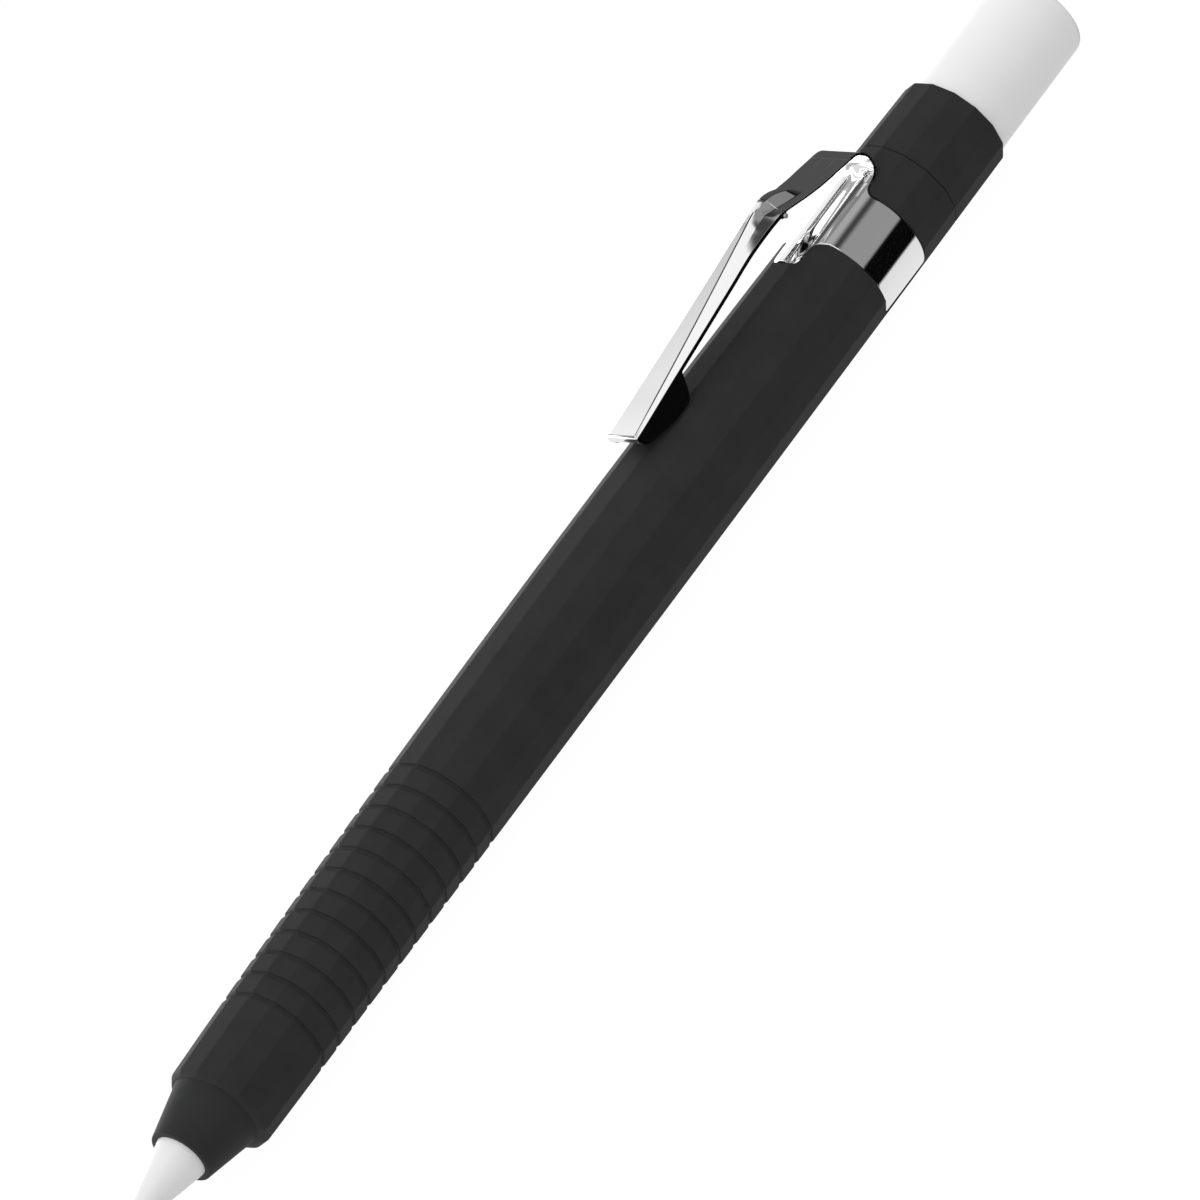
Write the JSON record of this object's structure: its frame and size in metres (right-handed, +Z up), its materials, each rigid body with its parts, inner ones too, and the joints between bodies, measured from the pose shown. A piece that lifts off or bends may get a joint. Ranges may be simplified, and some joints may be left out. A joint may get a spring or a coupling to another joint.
{
  "type": "digital stylus in mechanical-pencil sleeve",
  "caption": "Digital stylus with white tip and end in a many-sided black mechanical-pencil-style sleeve with ringed grip and chrome pocket clip.",
  "frame": {"origin": "bottom centre of the whole object, on the flat underside opposite the clip", "axes": "+X along the pencil from the tip to the rear end, +Z up through the clip, +Y to the side"},
  "size_m": [0.146, 0.0112, 0.0163],
  "materials": {
    "silicone": "fine matte moulded silicone",
    "clip_chrome": "polished plate",
    "pin_steel": "bright cut end",
    "white_shell": "satin",
    "nib_plastic": "satin",
    "nib_metal": "turned",
    "bush_brass": "turned",
    "copper": "bare copper",
    "frame_plastic": "moulded",
    "board": "solder mask",
    "chip": "moulded",
    "battery": "foil",
    "ferrite": "sintered",
    "magnet_nickel": "nickel plate",
    "flex_film": "polyimide film",
    "seal_rubber": "matte"
  },
  "bodies": {
    "sleeve": {"sleeve_barrel": "silicone", "sleeve_cap_ring": "silicone", "clip_bracket": "clip_chrome", "clip_pin": "pin_steel"},
    "clip_arm": {"clip_arm": "clip_chrome"},
    "stylus": {"stylus_housing": "white_shell", "end_cap": "white_shell", "end_cap_seal": "seal_rubber", "stud_bush": "bush_brass", "force_sensor": "copper", "sensor_mount": "frame_plastic", "chassis": "frame_plastic", "main_board": "board", "board_chip_1": "chip", "board_chip_2": "chip", "board_chip_3": "chip", "board_chip_4": "chip", "battery_cell": "battery", "battery_pad_1": "seal_rubber", "battery_pad_2": "seal_rubber", "ferrite_plate": "ferrite", "charge_coil": "copper", "magnet_1": "magnet_nickel", "magnet_2": "magnet_nickel", "magnet_3": "magnet_nickel", "magnet_4": "magnet_nickel", "touch_sensor": "copper", "flex_cable": "flex_film", "antenna": "copper"},
    "plunger": {"tip_stud": "nib_metal"},
    "nib": {"nib": "nib_plastic", "nib_core": "nib_metal"}
  },
  "joints": [
    {"name": "clip_flex", "type": "hinge", "parent": "sleeve", "child": "clip_arm", "pos_m": [0.0396, 0, 0.0145], "axis": [0, 1, 0], "range_deg": [0, 4], "stiffness_Nm_per_rad": 0.4},
    {"name": "stylus_slide", "type": "slide", "parent": "sleeve", "child": "stylus", "axis": [1, 0, 0], "range_m": [0, 0.15]},
    {"name": "tip_press", "type": "slide", "parent": "stylus", "child": "plunger", "axis": [1, 0, 0], "range_m": [0, 0.0002], "stiffness_N_per_m": 2000},
    {"name": "nib_turn", "type": "hinge", "parent": "plunger", "child": "nib", "pos_m": [-0.066, 0, 0.0051], "axis": [-1, 0, 0], "continuous": true}
  ]
}
